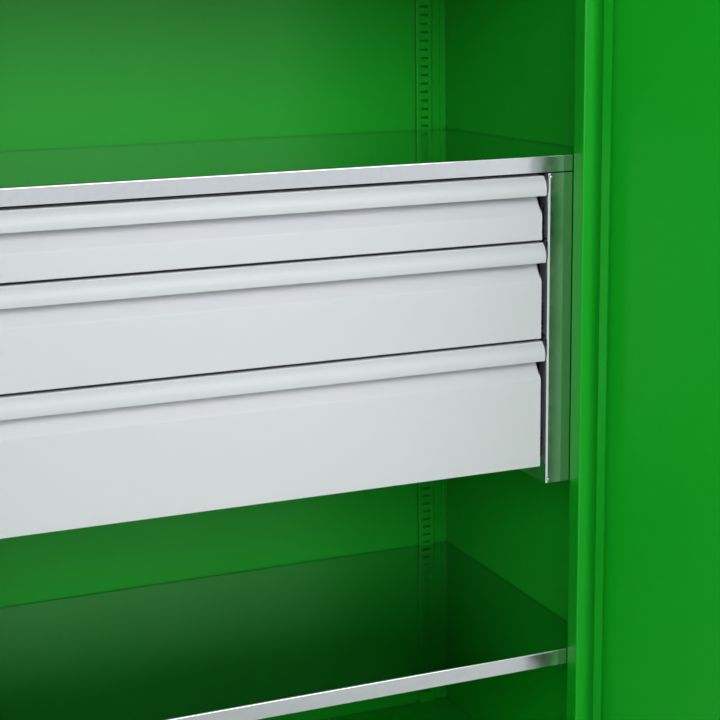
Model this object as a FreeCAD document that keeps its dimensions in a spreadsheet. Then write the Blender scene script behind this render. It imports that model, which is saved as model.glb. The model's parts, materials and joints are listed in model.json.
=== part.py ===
# Heavy-duty steel cupboard with two hinged doors, three adjustable shelves and a hung block of three drawers.
# Row frame: X to the right, Y into the cupboard, Z up, origin on the floor at the closed cupboard's middle.
# The doors stand open past a right angle, as they do when the drawers are used.

import FreeCAD, Part
import math
import os
import Sketcher

V = FreeCAD.Vector
RIGHT, LEFT = 1, -1
SIDES = ((LEFT, "left"), (RIGHT, "right"))

document = FreeCAD.newDocument("cupboard")
sheet_table = document.addObject("Spreadsheet::Sheet", "sizes")

# Driving dimensions in millimetres: alias, value, meaning
DRIVING = (
    ("cab_width", 1100, "outside width"),
    ("cab_height", 1950, "outside height"),
    ("cab_depth", 600, "outside depth with the doors shut"),
    ("plate", 1.5, "body sheet thickness"),
    ("base_plate", 2, "base frame sheet thickness"),
    ("bend", 2.5, "outside radius of a sheet bend"),
    ("past", 1, "how far a cutting tool reaches past what it cuts"),
    ("play", 0.3, "gap between parts that move past each other"),
    ("base_high", 90, "height of the base frame"),
    ("base_flange", 30, "width of the base frame's turned-in flanges"),
    ("sill_high", 40, "height of the sill rail"),
    ("head_high", 40, "height of the header rail"),
    ("post_wide", 57, "width of a front post"),
    ("post_deep", 28, "depth of a front post"),
    ("front_set", 1, "from the posts' back to the fronts of shelves and drawers"),
    ("rear_flange", 13, "width of a side panel's turned-in rear flange"),
    ("upright_wide", 30, "width of a slotted rear upright"),
    ("upright_deep", 6.5, "depth of a slotted rear upright"),
    ("upright_off", 45, "from the side wall to the middle of the slots"),
    ("slot_pitch", 15, "height from slot to slot"),
    ("slot_wide", 14, "width of a slot"),
    ("slot_high", 4, "height of a slot"),
    ("slot_rise", 7.5, "from a shelf's top to the slot above it"),
    ("shelf_plate", 1.5, "shelf sheet thickness"),
    ("shelf_lip", 25, "depth of a shelf's turned-down edge"),
    ("shelf_return", 15, "width of the return under a shelf's front edge"),
    ("shelf_gap", 1.5, "gap between a shelf and the walls"),
    ("shelf_mid", 1225, "height of the shelf above the drawers"),
    ("steps_down", 52, "slot steps from the shelf above the drawers down to the lower shelf"),
    ("steps_up", 24, "slot steps from the shelf above the drawers up to the top shelf"),
    ("clip_wide", 13, "width of a shelf clip"),
    ("clip_deep", 18, "how far a shelf clip stands out"),
    ("clip_high", 20, "height of a shelf clip"),
    ("hook_high", 3, "height of a hook that enters a slot"),
    ("hook_long", 5, "how far a hook reaches through a slot"),
    ("bracket_plate", 2, "drawer bracket sheet thickness"),
    ("bracket_high", 477, "height of a drawer bracket"),
    ("bracket_gap", 2, "gap between shelf edge and bracket"),
    ("bracket_off", 99, "from the outside of the cupboard to the bracket's inner face"),
    ("bracket_bend", 4, "outside radius of the bracket's front bend"),
    ("seat_in", 12, "from a bracket's front or back to the end of its seat"),
    ("tie_high", 40, "height of a tie bar"),
    ("tie_deep", 15, "depth of a tie bar"),
    ("tie_end", 30, "from a bracket's end to a tie bar"),
    ("slide_room", 13, "room for a slide between bracket and drawer"),
    ("slide_high", 45, "height of a slide"),
    ("slide_end", 26.5, "gap between a slide and the bracket's back flange"),
    ("slide_play", 0.6, "gap between the members of a slide"),
    ("slide_in", 5.4, "how far the drawer member of a slide stands out"),
    ("slide_mouth", 2.5, "from the drawer's side to the fixed member's flanges"),
    ("slide_step", 8, "difference in height between a slide's members"),
    ("slide_stagger", 1, "difference in front ends between a slide's members"),
    ("slide_plate", 1.5, "slide sheet thickness"),
    ("slide_up", 26, "from a drawer front's lower edge to the slide's middle"),
    ("slide_back", 2, "from the drawer front's returns to the slide's front end"),
    ("drawer_gap", 3, "gap between drawer fronts"),
    ("drawer_top_gap", 4.5, "gap between shelf edge and the first drawer"),
    ("module_one", 100, "height step of the first drawer"),
    ("module_two", 150, "height step of the second drawer"),
    ("module_three", 200, "height step of the third drawer"),
    ("front_over", 3.5, "how far a front stands past the drawer's side"),
    ("front_recess", 15, "depth of the finger recess"),
    ("recess_past", 2, "how far the recess reaches below the handle before it slopes"),
    ("front_slope", 28, "height of the sloping part below the handle"),
    ("crease_bend", 6, "outside radius of the folds at both ends of the slope"),
    ("front_low_bend", 2, "outside radius of a front's lower edge"),
    ("front_top_bend", 1.5, "outside radius of a front's upper edge"),
    ("front_plate", 1.5, "drawer front sheet thickness"),
    ("front_return", 12, "width of a front's turned-in edges behind the recess"),
    ("handle_high", 29, "height of the handle strip"),
    ("handle_brow", 4.5, "how far the handle strip's upper edge stands out"),
    ("handle_chin", 11.5, "how far the handle strip's lower edge stands out"),
    ("handle_radius", 26, "radius of the handle strip's face"),
    ("handle_edge", 1.8, "radius of the handle strip's upper edge"),
    ("handle_leg", 22, "height of the leg behind the handle strip"),
    ("handle_wall", 2, "wall of the handle strip"),
    ("tub_plate", 1, "drawer tub sheet thickness"),
    ("tub_low", 4, "from a front's lower edge to the tub's underside"),
    ("tub_room", 27, "drawer height that the tub's side stays below the front"),
    ("door_thick", 24, "door thickness"),
    ("door_gap", 5.5, "gap between door and post"),
    ("door_side", 1, "gap from the cupboard's side to the door's edge"),
    ("door_middle", 2, "gap between the two doors"),
    ("door_lift", 5, "gap between base frame and door"),
    ("door_head", 34, "from the cupboard's top to the door's top"),
    ("door_lip", 23.5, "width of a door's turned-in lip"),
    ("hinge_lip", 13, "width of the lip at a door's hinge edge"),
    ("axis_in", 14, "from the door's hinge edge to the hinge axis"),
    ("axis_back", 7, "from the door's outside to the hinge axis"),
    ("door_angle", 115, "opening angle of the doors at rest"),
    ("pin_radius", 4, "hinge pin radius"),
    ("pin_clear", 0.05, "radial clearance of the hinge pin"),
    ("bush_wall", 1.3, "wall of a hinge bush"),
    ("bush_long", 9, "length of a hinge bush"),
    ("hinge_plate", 3, "hinge bracket thickness"),
    ("hinge_leg", 24, "height of the hinge bracket's leg"),
    ("hinge_ear", 9, "from the hinge axis to the arm's inner edge"),
    ("hinge_foot", 22, "from the hinge axis to the leg's inner edge"),
    ("hinge_set", 1, "how far the hinge arm stays behind the door's outside"),
    ("hinge_gap", 1.5, "gap between door and hinge bracket"),
    ("hinge_screw_one", 8, "from the leg's inner edge to the first screw"),
    ("hinge_screw_two", 26, "from the leg's inner edge to the second screw"),
    ("pin_over", 4, "how far a hinge pin stands past its bush"),
    ("rod_radius", 4, "locking rod radius"),
    ("rod_in", 36, "from the door's free edge to the rod"),
    ("rod_off", 14, "from the door's inside to the rod's axis"),
    ("rod_travel", 20, "travel of a locking rod"),
    ("rod_clear", 0.5, "radial clearance of the rod in its guides"),
    ("rod_hole_clear", 1.5, "radial clearance of the rod in the rails"),
    ("rod_short", 6, "gap between a drawn-back rod and the rail it enters"),
    ("rod_cam_gap", 6, "gap between the lock cam and a rod's inner end"),
    ("guide_long", 20, "height of a rod guide"),
    ("guide_in", 12, "from the door's free edge to a rod guide"),
    ("guide_wall", 2, "wall of a rod guide around the rod"),
    ("guide_end", 60, "from a rail to the nearest rod guide"),
    ("guide_case", 160, "from the lock case to the nearest rod guide"),
    ("strip_over", 9, "how far the overlap strip reaches behind the other door"),
    ("strip_in", 2, "from the door lip's inner edge to the strip"),
    ("strip_rest", 4, "width of the door lip that the strip's foot leaves free"),
    ("strip_end", 4, "from the door's end lips to the strip's ends"),
    ("lock_height", 1050, "height of the handle's axis"),
    ("case_wide", 46, "width of the lock case"),
    ("case_high", 96, "height of the lock case"),
    ("case_deep", 20, "depth of the lock case"),
    ("cam_radius", 15, "radius of the lock cam"),
    ("cam_thick", 3, "thickness of the lock cam"),
    ("cam_gap", 0.5, "gap between the door and the lock cam"),
    ("spindle_radius", 5, "radius of the handle's spindle"),
    ("spindle_clear", 1, "radial clearance of the spindle"),
    ("spindle_in", 10, "how far the spindle reaches into the lock case"),
    ("rosette_wide", 38, "width of the handle's back plate"),
    ("rosette_high", 150, "height of the handle's back plate"),
    ("rosette_drop", 90, "from the handle's axis to its back plate's lower end"),
    ("rosette_thick", 6, "thickness of the handle's back plate"),
    ("lever_hub", 14, "radius of the lever's hub"),
    ("lever_long", 110, "length of the lever"),
    ("lever_wide", 20, "width of the lever"),
    ("lever_thick", 12, "thickness of the lever"),
    ("lever_stand", 22, "from the back plate to the lever"),
    ("barrel_radius", 8, "radius of the key barrel"),
    ("barrel_drop", 48, "from the handle's axis to the key barrel"),
    ("barrel_clear", 0.05, "radial clearance of the key barrel"),
    ("barrel_stand", 1.5, "how far the key barrel stands past the back plate"),
    ("barrel_short", 0.5, "gap between the key barrel and the door"),
    ("keyway_wide", 1.6, "width of the keyway"),
    ("keyway_high", 8, "height of the keyway"),
    ("keyway_deep", 3.5, "depth of the keyway"),
    ("roof_lip", 18, "depth of the roof's inner lips"),
    ("roof_lip_gap", 2, "gap at the ends of the roof's inner lips"),
    ("buffer_radius", 6, "radius of a door buffer"),
    ("buffer_in", 12, "from a post's inner edge to a buffer's middle"),
    ("screw_radius", 5, "radius of a screw head"),
    ("screw_thick", 2.2, "thickness of a screw head"),
)
ALIASES = set()
for row, (alias, value, meaning) in enumerate(DRIVING, start=1):
    sheet_table.set(f"A{row}", str(value))
    sheet_table.setAlias(f"A{row}", alias)
    sheet_table.set(f"B{row}", meaning)
    ALIASES.add(alias)
document.recompute()


def bound(text):
    """The same formula with every alias written as a cell of the sheet."""
    words, word = [], ""
    for letter in str(text) + " ":
        if letter.isalnum() or letter == "_":
            word += letter
            continue
        words.append(f"sizes.{word}" if word in ALIASES else word)
        words.append(letter)
        word = ""
    return "".join(words).strip()


def number(text):
    """The value that a formula has now."""
    found = sheet_table.evalExpression(bound(text))
    return float(getattr(found, "Value", found))


def bind(thing, **formulas):
    """Bind properties to formulas; two underlines stand for a dot."""
    for name, text in formulas.items():
        thing.setExpression(name.replace("__", "."), bound(text))


# Places worked out from the driving dimensions
HALF = "(cab_width/2)"
FRONT = "(-cab_depth/2 + door_thick + door_gap)"
POST_BACK = f"({FRONT} + post_deep)"
BACK = "(cab_depth/2)"
BACK_IN = "(cab_depth/2 - plate)"
FLANGE_IN = "(cab_depth/2 - 2*plate)"
WALL_IN = "(cab_width/2 - plate)"
OPENING = "(cab_width/2 - post_wide)"
FLOOR_TOP = "(base_high + sill_high)"
BODY_TOP = "(cab_height - plate)"
HEAD_LOW = "(cab_height - plate - head_high)"
UPRIGHT_FACE = f"({BACK_IN} - upright_deep)"
UPRIGHT_AT = f"({WALL_IN} - upright_off)"
PLANE = f"({POST_BACK} + front_set)"
BRACKET_IN = f"({HALF} - bracket_off)"
BRACKET_TOP = "(shelf_mid - shelf_lip - bracket_gap)"
BRACKET_LOW = f"({BRACKET_TOP} - bracket_high)"
TUB_HALF = f"({BRACKET_IN} - slide_room)"
FRONT_HALF = f"({TUB_HALF} + front_over)"
SLOT_ZERO = "(shelf_mid + slot_rise)"
SHELF_LOW = "(shelf_mid - steps_down*slot_pitch)"
SHELF_TOP = "(shelf_mid + steps_up*slot_pitch)"
RECESS = f"({PLANE} + front_recess)"
TUB_FRONT = f"({RECESS} + front_return)"
SLIDE_FRONT = f"({TUB_FRONT} + slide_back)"
SLIDE_LONG = f"({UPRIGHT_FACE} - bracket_plate - slide_end - {SLIDE_FRONT})"
TUB_BACK = f"({SLIDE_FRONT} + {SLIDE_LONG})"
AXIS_X = f"({HALF} - door_side - axis_in)"
AXIS_Y = "(-cab_depth/2 + axis_back)"
DOOR_LOW = "(base_high + door_lift)"
DOOR_HIGH = "(cab_height - door_head)"
DOOR_WIDE = f"({HALF} - door_side - door_middle/2)"
DOOR_IN = "(door_thick - axis_back)"
BUSH_RADIUS = "(pin_radius + pin_clear + bush_wall)"
ROD_LOCAL_X = f"({DOOR_WIDE} - axis_in - rod_in)"
ROD_LOCAL_Y = f"({DOOR_IN} + rod_off)"
ROD_CLOSED_X = f"({AXIS_X} - {ROD_LOCAL_X})"
ROD_CLOSED_Y = f"({AXIS_Y} + {ROD_LOCAL_Y})"

MODULES = ("module_one", "module_two", "module_three")
CLIP_STEP = 3
BRACKET_STEPS = (4, 17, 31)
pieces = {}


def keep(name, thing):
    """Give a finished sub-part its name."""
    thing.Label = name
    pieces[name] = thing
    return thing


def origin_plane(body, role):
    return next(item for item in body.Origin.OriginFeatures if item.Role == role)


def bulge_point(start, end, radius, side):
    """The middle of an arc from start to end that stands out to the left (1) or right (-1) of its chord."""
    chord = end - start
    across = V(-chord.y, chord.x, 0).normalize()
    rise = radius - math.sqrt(radius**2 - (chord.Length / 2) ** 2)
    return (start + end) / 2 + across * side * rise


def outline(body, name, role, loops, offset="0", arcs=None):
    """A sketch of closed loops whose corners are pairs of formulas.
    arcs gives a segment's radius and the side of its bulge."""
    drawn = body.newObject("Sketcher::SketchObject", name)
    drawn.AttachmentSupport = [(origin_plane(body, role), "")]
    drawn.MapMode = "FlatFace"
    bind(drawn, AttachmentOffset__Base__z=offset)
    first = 0
    for loop_index, corners in enumerate(loops):
        points = [V(number(x), number(y), 0) for x, y in corners]
        count = len(points)
        starts, ends = [], []
        for i, start in enumerate(points):
            end = points[(i + 1) % count]
            arc = arcs.get(i) if arcs and loop_index == 0 else None
            if arc is None:
                drawn.addGeometry(Part.LineSegment(start, end), False)
                starts.append(1)
                ends.append(2)
            else:
                radius, side = arc
                through = bulge_point(start, end, number(radius), side)
                clockwise = side > 0
                drawn.addGeometry(Part.Arc(*((end, through, start) if clockwise else (start, through, end))), False)
                starts.append(2 if clockwise else 1)
                ends.append(1 if clockwise else 2)
                place = drawn.addConstraint(Sketcher.Constraint("Radius", first + i, number(radius)))
                drawn.setExpression(f"Constraints[{place}]", bound(radius))
        for i, (x, y) in enumerate(corners):
            following = (i + 1) % count
            meeting = (first + i, ends[i], first + following, starts[following])
            drawn.addConstraint(Sketcher.Constraint("Coincident", *meeting))
            for kind, text in (("DistanceX", x), ("DistanceY", y)):
                distance = Sketcher.Constraint(kind, -1, 1, first + i, starts[i], number(text))
                place = drawn.addConstraint(distance)
                drawn.setExpression(f"Constraints[{place}]", bound(text))
        first += count
    return drawn


def prism(name, role, loops, start, length, rounds=(), arcs=None):
    """A body of one outline drawn out from start over length along X, Y or Z.
    rounds gives corners of the outline and the radius of their edges."""
    body = document.addObject("PartDesign::Body", f"{name}_body")
    offset = f"-({start}) - ({length})" if role == "XZ_Plane" else start
    drawn = outline(body, f"{name}_outline", role, loops, offset, arcs)
    pad = body.newObject("PartDesign::Pad", f"{name}_pad")
    pad.Profile = drawn
    bind(pad, Length=length)
    document.recompute()
    for index, (corners, radius) in enumerate(rounds):
        round_off(body, f"{name}_round_{index}", drawn, [loops[0][i] for i in corners], radius)
    return keep(name, body)


def round_off(body, name, drawn, corners, radius):
    """Round the long edges that stand on the given corners of the outline."""
    last = body.Tip
    along = drawn.Placement.Rotation.multVec(V(0, 0, 1))
    wanted = [drawn.Placement.multVec(V(number(x), number(y), 0)) for x, y in corners]
    names = []
    for i, edge in enumerate(last.Shape.Edges, start=1):
        ends = [v.Point for v in edge.Vertexes]
        if len(ends) != 2 or (ends[1] - ends[0]).cross(along).Length > 1e-3:
            continue
        if any((ends[0] - point).cross(along).Length < 1e-3 for point in wanted):
            names.append(f"Edge{i}")
    fillet = body.newObject("PartDesign::Fillet", name)
    fillet.Base = (last, names)
    bind(fillet, Radius=radius)
    document.recompute()
    return fillet


def block(name, x, y, z, dx, dy, dz):
    """A box from its low corner and its three sizes."""
    made = document.addObject("Part::Box", name)
    bind(made, Length=dx, Width=dy, Height=dz)
    bind(made, Placement__Base__x=x, Placement__Base__y=y, Placement__Base__z=z)
    return made


def span(side, near, far):
    """The low X and the X size of a thing that lies from near to far on one side of the middle."""
    return (near if side == RIGHT else f"-({far})"), f"({far}) - ({near})"


def side_block(name, side, near, far, y, z, dy, dz):
    x, dx = span(side, near, far)
    return block(name, x, y, z, dx, dy, dz)


def rod(name, x, y, z, radius, length, way="Z"):
    """A round bar from its low end along X, Y or Z."""
    made = document.addObject("Part::Cylinder", name)
    turns = {"X": (V(0, 1, 0), 90), "Y": (V(1, 0, 0), -90), "Z": (V(0, 0, 1), 0)}
    made.Placement = FreeCAD.Placement(V(0, 0, 0), FreeCAD.Rotation(*turns[way]))
    bind(made, Radius=radius, Height=length)
    bind(made, Placement__Base__x=x, Placement__Base__y=y, Placement__Base__z=z)
    return made


def joined(name, things):
    made = document.addObject("Part::MultiFuse", name)
    made.Shapes = things
    return made


def grouped(name, things):
    """Separate solids that share one node."""
    made = document.addObject("Part::Compound", name)
    made.Links = things
    return keep(name, made)


def cut(name, base, tools):
    made = document.addObject("Part::Cut", name)
    made.Base = base
    made.Tool = tools[0] if len(tools) == 1 else joined(f"{name}_tools", tools)
    return made


def tray(name, low, size, wall, open_side):
    """A box of sheet that is open at its top or its underside."""
    (x, y, z), (dx, dy, dz) = low, size
    outer = block(f"{name}_outer", x, y, z, dx, dy, dz)
    floor = f"{z} + {wall}" if open_side == "top" else z
    inner = block(
        f"{name}_inner",
        f"{x} + {wall}",
        f"{y} + {wall}",
        floor,
        f"{dx} - 2*{wall}",
        f"{dy} - 2*{wall}",
        f"{dz} - {wall}",
    )
    return cut(f"{name}_tray", outer, [inner])


def slot_row(body, name, x, y, low, high):
    """Slots through a wall that faces along Y: x and y are the middle of the row and the wall's near face."""
    left = f"{x} - slot_wide/2"
    right = f"{x} + slot_wide/2"
    steps = f"floor(({SLOT_ZERO} - ({low}) - slot_pitch) / slot_pitch)"
    bottom = f"{SLOT_ZERO} - slot_pitch*{steps} - slot_high/2"
    count = f"floor((({high}) - ({bottom}) - slot_pitch) / slot_pitch)"
    top = f"{bottom} + slot_high"
    loop = ((left, bottom), (right, bottom), (right, top), (left, top))
    drawn = outline(body, f"{name}_slot", "XZ_Plane", [loop], f"-({y} - plate/2)")
    pocket = body.newObject("PartDesign::Pocket", f"{name}_pocket")
    pocket.Profile = drawn
    bind(pocket, Length="2*plate")
    document.recompute()
    row = body.newObject("PartDesign::LinearPattern", f"{name}_slots")
    row.Originals = [pocket]
    row.Direction = (drawn, ["V_Axis"])
    bind(row, Length=f"slot_pitch*({count} - 1)", Occurrences=count)
    body.Tip = row
    document.recompute()


# Body shell
def base_frame():
    outer = block("base_outer", f"-{HALF}", FRONT, "0", "cab_width", f"{BACK} - {FRONT}", "base_high")
    wall = "base_plate"
    cavity = block(
        "base_cavity",
        f"-{HALF} + {wall}",
        f"{FRONT} + {wall}",
        wall,
        f"cab_width - 2*{wall}",
        f"{BACK} - {FRONT} - 2*{wall}",
        f"base_high - 2*{wall}",
    )
    mouth = block(
        "base_mouth",
        f"-{HALF} + base_flange",
        f"{FRONT} + base_flange",
        "-past",
        "cab_width - 2*base_flange",
        f"{BACK} - {FRONT} - 2*base_flange",
        "base_high + 2*past",
    )
    keep("base_frame", cut("base_ring", outer, [cavity, mouth]))


def floor_panel():
    made = tray(
        "floor",
        (f"-{WALL_IN}", POST_BACK, "base_high"),
        (f"2*{WALL_IN}", f"{FLANGE_IN} - {POST_BACK}", "sill_high"),
        "plate",
        "underside",
    )
    keep("floor_panel", made)


def side_panels():
    for side, word in SIDES:
        corners = (
            (f"{side}*{HALF}", POST_BACK),
            (f"{side}*{HALF}", BACK_IN),
            (f"{side}*({HALF} - rear_flange)", BACK_IN),
            (f"{side}*({HALF} - rear_flange)", FLANGE_IN),
            (f"{side}*{WALL_IN}", FLANGE_IN),
            (f"{side}*{WALL_IN}", POST_BACK),
        )
        high = f"{BODY_TOP} - base_high"
        prism(f"side_panel_{word}", "XY_Plane", [corners], "base_high", high, [((1,), "bend")])


def back_panel():
    high = f"{BODY_TOP} - base_high"
    keep("back_panel", block("back_plate", f"-{HALF}", BACK_IN, "base_high", "cab_width", "plate", high))


def roof_panel():
    low = f"{BODY_TOP} - roof_lip"
    top = block("roof_top", f"-{HALF}", FRONT, BODY_TOP, "cab_width", f"{BACK} - {FRONT}", "plate")
    things = [top]
    for side, word in SIDES:
        start = f"{POST_BACK} + roof_lip_gap"
        long = f"{UPRIGHT_FACE} - {POST_BACK} - 2*roof_lip_gap"
        near = f"{WALL_IN} - plate"
        things.append(side_block(f"roof_lip_{word}", side, near, WALL_IN, start, low, long, "roof_lip"))
    inner = f"({WALL_IN} - upright_off - upright_wide)"
    things.append(block("roof_lip_back", f"-{inner}", FLANGE_IN, low, f"2*{inner}", "plate", "roof_lip"))
    keep("roof_panel", joined("roof_joined", things))


def front_posts():
    for side, word in SIDES:
        near, far = f"{side}*{OPENING}", f"{side}*{HALF}"
        outer = ((near, FRONT), (far, FRONT), (far, POST_BACK), (near, POST_BACK))
        inner_near, inner_far = f"{side}*({OPENING} + plate)", f"{side}*({HALF} - plate)"
        inner = (
            (inner_near, f"{FRONT} + plate"),
            (inner_far, f"{FRONT} + plate"),
            (inner_far, f"{POST_BACK} - plate"),
            (inner_near, f"{POST_BACK} - plate"),
        )
        name = f"front_post_{word}"
        rounds = [((0, 1), "bend"), ((3,), "bend/2")]
        body = prism(name, "XY_Plane", [outer, inner], "base_high", f"{BODY_TOP} - base_high", rounds)
        slot_row(body, name, f"{side}*{UPRIGHT_AT}", f"{POST_BACK} - plate", FLOOR_TOP, HEAD_LOW)
        keep(name, body)


def rear_uprights():
    for side, word in SIDES:
        near, far = f"{side}*({UPRIGHT_AT} - upright_wide/2)", f"{side}*({UPRIGHT_AT} + upright_wide/2)"
        wall = f"{side}*plate"
        corners = (
            (near, BACK_IN),
            (near, UPRIGHT_FACE),
            (far, UPRIGHT_FACE),
            (far, BACK_IN),
            (f"{far} - {wall}", BACK_IN),
            (f"{far} - {wall}", f"{UPRIGHT_FACE} + plate"),
            (f"{near} + {wall}", f"{UPRIGHT_FACE} + plate"),
            (f"{near} + {wall}", BACK_IN),
        )
        name = f"rear_upright_{word}"
        body = prism(name, "XY_Plane", [corners], FLOOR_TOP, f"{HEAD_LOW} - {FLOOR_TOP}", [((1, 2), "plate")])
        slot_row(body, name, f"{side}*{UPRIGHT_AT}", UPRIGHT_FACE, FLOOR_TOP, HEAD_LOW)
        keep(name, body)


def cross_rail(name, low, high, hole_low):
    """A box section between the posts, with the hole that a locking rod enters."""
    outer = ((FRONT, low), (POST_BACK, low), (POST_BACK, high), (FRONT, high))
    inner = (
        (f"{FRONT} + plate", f"{low} + plate"),
        (f"{POST_BACK} - plate", f"{low} + plate"),
        (f"{POST_BACK} - plate", f"{high} - plate"),
        (f"{FRONT} + plate", f"{high} - plate"),
    )
    tube = prism(name, "YZ_Plane", [outer, inner], f"-{OPENING}", f"2*{OPENING}", [((0, 3), "bend")])
    radius, long = "rod_radius + rod_hole_clear", "plate + 2*past"
    hole = rod(f"{name}_hole", ROD_CLOSED_X, ROD_CLOSED_Y, hole_low, radius, long)
    keep(name, cut(f"{name}_drilled", tube, [hole]))


def rails():
    cross_rail("header_rail", HEAD_LOW, BODY_TOP, f"{HEAD_LOW} - past")
    cross_rail("sill_rail", "base_high", FLOOR_TOP, f"{FLOOR_TOP} - plate - past")


# Shelves
def shelf(name, top):
    half = f"({WALL_IN} - shelf_gap)"
    back = f"({FLANGE_IN} - shelf_gap)"
    low = f"({top} - shelf_lip)"
    wall = "shelf_plate"
    outer = ((PLANE, low), (back, low), (back, top), (PLANE, top))
    body = prism(f"{name}_solid", "YZ_Plane", [outer], f"-{half}", f"2*{half}", [((3,), "bend")])
    del pieces[f"{name}_solid"]
    hollow = block(
        f"{name}_hollow",
        f"-{half} + {wall}",
        f"{PLANE} + {wall}",
        f"{low} + {wall}",
        f"2*{half} - 2*{wall}",
        f"{back} - {PLANE} - 2*{wall}",
        f"shelf_lip - 2*{wall}",
    )
    mouth = block(
        f"{name}_mouth",
        f"-{half} + {wall}",
        f"{PLANE} + shelf_return",
        f"{low} - past",
        f"2*{half} - 2*{wall}",
        f"{back} - {PLANE} - shelf_return - {wall}",
        f"{wall} + 2*past",
    )
    tools = [hollow, mouth]
    for side, word in SIDES:
        near = f"{UPRIGHT_AT} - upright_wide/2 - shelf_gap"
        far = f"{UPRIGHT_AT} + upright_wide/2 + shelf_gap"
        start, deep = f"{UPRIGHT_FACE} - shelf_gap", f"{BACK} - {UPRIGHT_FACE}"
        start_z, high = f"{low} - past", "shelf_lip + 2*past"
        tools.append(side_block(f"{name}_notch_{word}", side, near, far, start, start_z, deep, high))
    keep(name, cut(f"{name}_cut", body, tools))


def shelves():
    shelf("shelf_at_top", SHELF_TOP)
    shelf("shelf_above_drawers", "shelf_mid")
    shelf("shelf_below_drawers", SHELF_LOW)


def slot_below(top, count):
    """The middle of a slot that lies count steps below the slot over a shelf's top."""
    return f"({top} + slot_rise - {count}*slot_pitch)"


def hooks(name, side, face, way, levels):
    """Hooks that enter the slots through a face that looks along Y."""
    made = []
    for i, level in enumerate(levels):
        start = f"{face} - hook_long" if way < 0 else face
        made.append(
            side_block(
                f"{name}_{i}",
                side,
                f"{UPRIGHT_AT} - clip_wide/2",
                f"{UPRIGHT_AT} + clip_wide/2",
                start,
                f"{level} - hook_high/2",
                "hook_long",
                "hook_high",
            )
        )
    return made


def shelf_clips():
    clips = []
    for key, top in (("low", SHELF_LOW), ("top", SHELF_TOP)):
        for side, word in SIDES:
            for place, face, way in (("front", POST_BACK, -1), ("back", UPRIGHT_FACE, 1)):
                name = f"clip_{key}_{word}_{place}"
                start = face if way < 0 else f"{face} - clip_deep"
                seat = side_block(
                    f"{name}_seat",
                    side,
                    f"{UPRIGHT_AT} - clip_wide/2",
                    f"{UPRIGHT_AT} + clip_wide/2",
                    start,
                    f"{top} - shelf_lip - clip_high",
                    "clip_deep",
                    "clip_high",
                )
                tongue = hooks(f"{name}_hook", side, face, way, [slot_below(top, CLIP_STEP)])
                clips.append(joined(name, [seat] + tongue))
    grouped("shelf_clips", clips)


# Drawer block
def drawer_brackets():
    levels = [slot_below("shelf_mid", count) for count in BRACKET_STEPS]
    for side, word in SIDES:
        inside = f"{side}*{BRACKET_IN}"
        wall = f"{side}*bracket_plate"
        reach = f"{side}*({WALL_IN} - shelf_gap)"
        back = UPRIGHT_FACE
        corners = (
            (reach, PLANE),
            (inside, PLANE),
            (inside, back),
            (reach, back),
            (reach, f"{back} - bracket_plate"),
            (f"{inside} + {wall}", f"{back} - bracket_plate"),
            (f"{inside} + {wall}", f"{PLANE} + bracket_plate"),
            (reach, f"{PLANE} + bracket_plate"),
        )
        name = f"drawer_bracket_{word}"
        body = prism(
            f"{name}_wall",
            "XY_Plane",
            [corners],
            BRACKET_LOW,
            "bracket_high",
            [((1,), "bracket_bend"), ((6,), "bracket_bend - bracket_plate"), ((2,), "bend")],
        )
        del pieces[f"{name}_wall"]
        seat = side_block(
            f"{name}_seat",
            side,
            BRACKET_IN,
            f"{WALL_IN} - shelf_gap",
            f"{PLANE} + seat_in",
            f"{BRACKET_TOP} - bracket_plate",
            f"{back} - {PLANE} - 2*seat_in",
            "bracket_plate + bracket_gap",
        )
        parts = [body, seat]
        parts += hooks(f"{name}_front_hook", side, PLANE, -1, levels)
        parts += hooks(f"{name}_back_hook", side, back, 1, levels)
        keep(name, joined(f"{name}_joined", parts))


def tie_bars():
    bars = []
    for i, low in enumerate((f"{BRACKET_LOW} + tie_end", f"{BRACKET_TOP} - tie_high - tie_end")):
        top = f"({low} + tie_high)"
        front = f"({UPRIGHT_FACE} - bracket_plate - tie_deep)"
        back = f"({UPRIGHT_FACE} - bracket_plate)"
        wall = "bracket_plate"
        corners = (
            (front, low),
            (back, low),
            (back, f"{low} + {wall}"),
            (f"{front} + {wall}", f"{low} + {wall}"),
            (f"{front} + {wall}", f"{top} - {wall}"),
            (back, f"{top} - {wall}"),
            (back, top),
            (front, top),
        )
        rounds = [((0, 7), "bend")]
        body = prism(f"tie_{i}", "YZ_Plane", [corners], f"-{BRACKET_IN}", f"2*{BRACKET_IN}", rounds)
        del pieces[f"tie_{i}"]
        bars.append(body)
    grouped("tie_bars", bars)


def drawer_levels():
    """Lower edge and height of each drawer front, from the top drawer down."""
    top = "(shelf_mid - shelf_lip - drawer_top_gap)"
    found = []
    for module in MODULES:
        low = f"({top} - {module} + drawer_gap)"
        found.append((low, f"({module} - drawer_gap)"))
        top = f"({top} - {module})"
    return found


def channel(name, side, web, mouth, middle, high, long, start):
    """A C section of slide sheet whose web is at X = web and whose flanges reach to X = mouth."""
    wall = "slide_plate"
    way = f"{side}*{wall}" if number(mouth) > number(web) else f"-{side}*{wall}"
    near, far = f"{side}*({web})", f"{side}*({mouth})"
    corners = (
        (near, f"{middle} - {high}/2"),
        (far, f"{middle} - {high}/2"),
        (far, f"{middle} - {high}/2 + {wall}"),
        (f"{near} + {way}", f"{middle} - {high}/2 + {wall}"),
        (f"{near} + {way}", f"{middle} + {high}/2 - {wall}"),
        (far, f"{middle} + {high}/2 - {wall}"),
        (far, f"{middle} + {high}/2"),
        (near, f"{middle} + {high}/2"),
    )
    body = prism(name, "XZ_Plane", [corners], start, long, [((0, 7), wall)])
    del pieces[name]
    return body


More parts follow.
